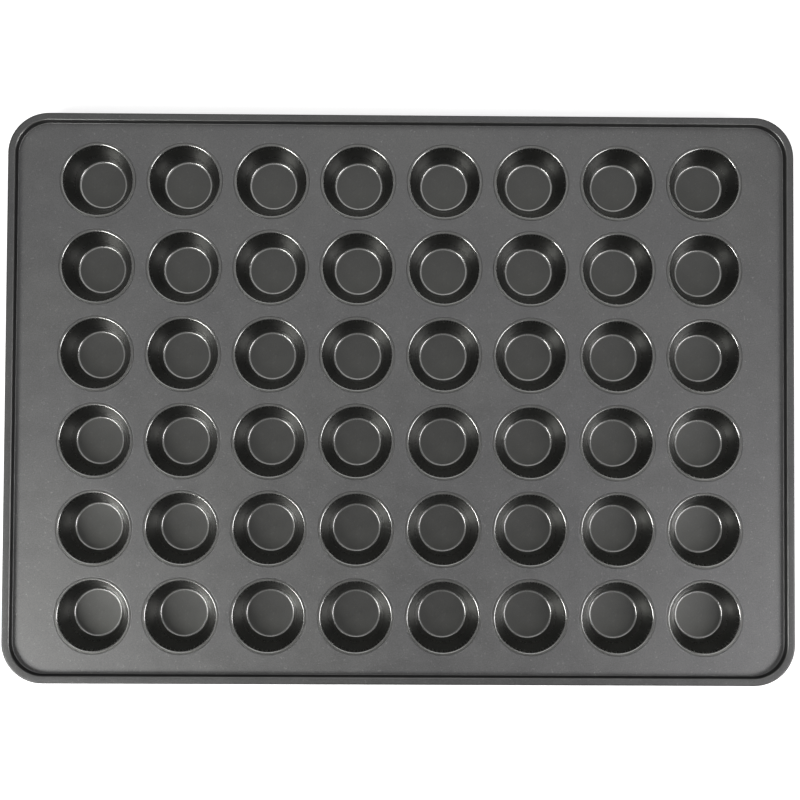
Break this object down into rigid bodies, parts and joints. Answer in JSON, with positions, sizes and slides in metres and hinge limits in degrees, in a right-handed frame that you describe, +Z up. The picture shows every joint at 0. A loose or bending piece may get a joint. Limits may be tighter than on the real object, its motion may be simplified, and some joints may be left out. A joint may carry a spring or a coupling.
{
  "type": "muffin tin",
  "caption": "Rectangular mini muffin tin: drawn cups hung by their lips in a pressed plate, with the plate's edge hemmed round a wire.",
  "frame": {"origin": "on the ground under the middle of the tin, between the four middle cups", "axes": "+X along the longer side, +Y along the shorter side towards the back, +Z up"},
  "size_m": [0.532, 0.384, 0.0254],
  "materials": {
    "plate": "dark grey non-stick coating on pressed steel, semi-gloss, fine speckle",
    "cups": "dark grey non-stick coating on drawn steel, semi-gloss",
    "wire": "plain drawn steel wire inside the hemmed rim"
  },
  "bodies": {
    "root": {"top_plate": "plate", "rim_wire": "wire", "cup_r1_c1": "cups", "cup_r1_c2": "cups", "cup_r1_c3": "cups", "cup_r1_c4": "cups", "cup_r1_c5": "cups", "cup_r1_c6": "cups", "cup_r1_c7": "cups", "cup_r1_c8": "cups", "cup_r2_c1": "cups", "cup_r2_c2": "cups", "cup_r2_c3": "cups", "cup_r2_c4": "cups", "cup_r2_c5": "cups", "cup_r2_c6": "cups", "cup_r2_c7": "cups", "cup_r2_c8": "cups", "cup_r3_c1": "cups", "cup_r3_c2": "cups", "cup_r3_c3": "cups", "cup_r3_c4": "cups", "cup_r3_c5": "cups", "cup_r3_c6": "cups", "cup_r3_c7": "cups", "cup_r3_c8": "cups", "cup_r4_c1": "cups", "cup_r4_c2": "cups", "cup_r4_c3": "cups", "cup_r4_c4": "cups", "cup_r4_c5": "cups", "cup_r4_c6": "cups", "cup_r4_c7": "cups", "cup_r4_c8": "cups", "cup_r5_c1": "cups", "cup_r5_c2": "cups", "cup_r5_c3": "cups", "cup_r5_c4": "cups", "cup_r5_c5": "cups", "cup_r5_c6": "cups", "cup_r5_c7": "cups", "cup_r5_c8": "cups", "cup_r6_c1": "cups", "cup_r6_c2": "cups", "cup_r6_c3": "cups", "cup_r6_c4": "cups", "cup_r6_c5": "cups", "cup_r6_c6": "cups", "cup_r6_c7": "cups", "cup_r6_c8": "cups"}
  },
  "joints": []
}
